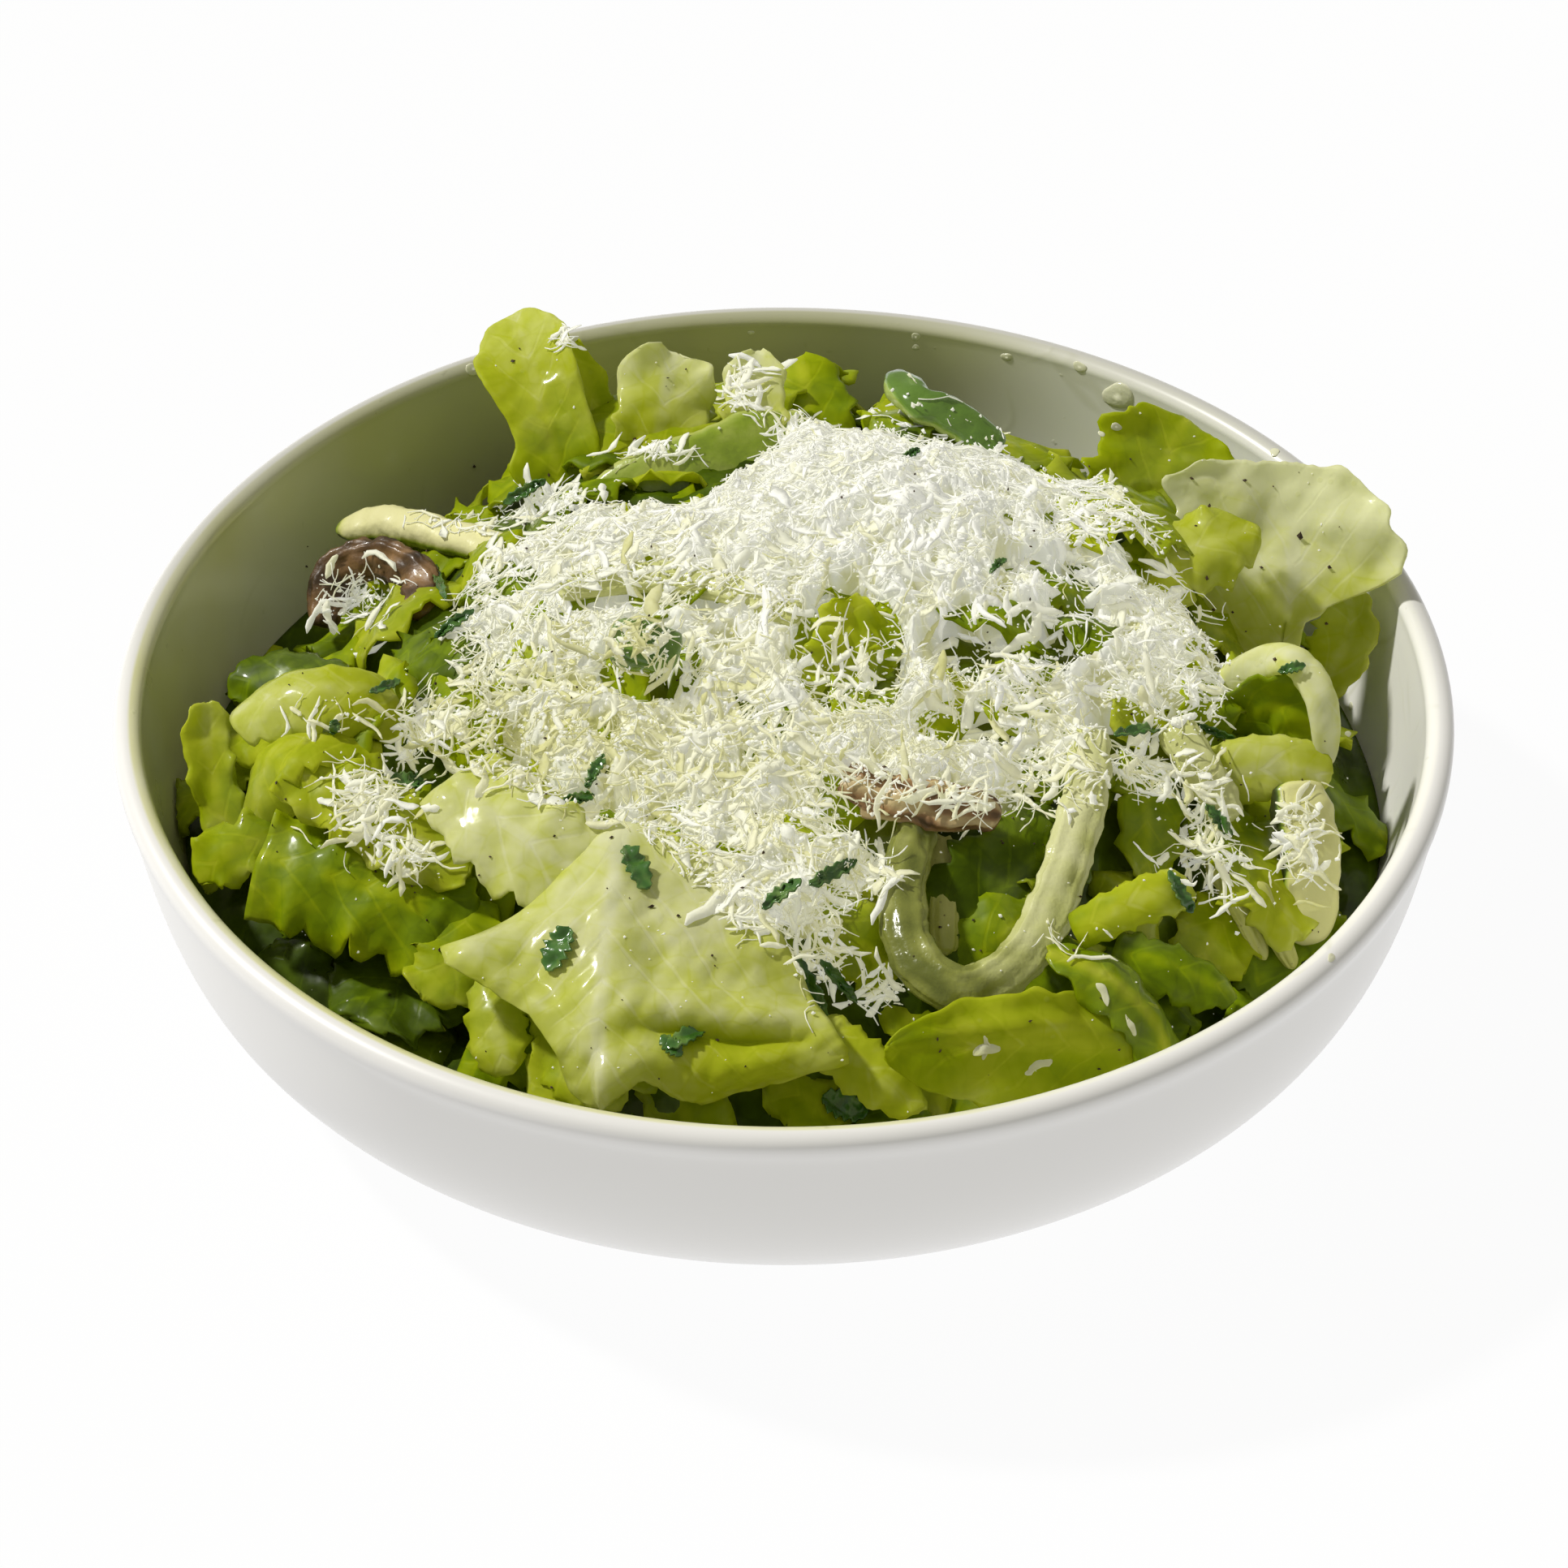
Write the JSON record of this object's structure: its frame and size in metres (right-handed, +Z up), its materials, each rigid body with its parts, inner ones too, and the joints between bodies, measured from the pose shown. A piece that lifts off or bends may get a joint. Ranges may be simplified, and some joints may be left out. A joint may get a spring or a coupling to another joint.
{
  "type": "caesar salad in a bowl",
  "caption": "Heap of dressed romaine leaves under grated cheese with avocado, pods, anchovy and fennel slices, in a low round white bowl.",
  "frame": {"origin": "centre of the flat foot under the bowl", "axes": "+Z up out of the bowl, -Y towards the front of the salad, from where the picture was taken, +X to the right seen from there"},
  "size_m": [0.2406, 0.2406, 0.0885],
  "materials": {
    "glazed_white": "smooth white glaze",
    "dressed_leaf": "moist leaf under a film of creamy dressing",
    "cheese": "dry grated hard cheese",
    "avocado": "soft moist flesh with a greener edge",
    "pod_skin": "shiny dark green pod",
    "anchovy": "oily brown fillet",
    "fennel": "moist pale slice",
    "celery": "moist yellow-green stick"
  },
  "bodies": {
    "root": {"bowl": "glazed_white", "salad_leaves": "dressed_leaf", "grated_cheese": "cheese", "avocado_left": "avocado", "avocado_back": "avocado", "avocado_right": "avocado", "pod_back": "pod_skin", "pod_cut": "pod_skin", "anchovy_roll": "anchovy", "anchovy_front": "anchovy", "fennel_curve": "fennel", "fennel_strip": "fennel", "celery_stick": "celery", "stalk_right": "fennel", "stick_long": "celery", "stick_short": "celery"}
  },
  "joints": []
}
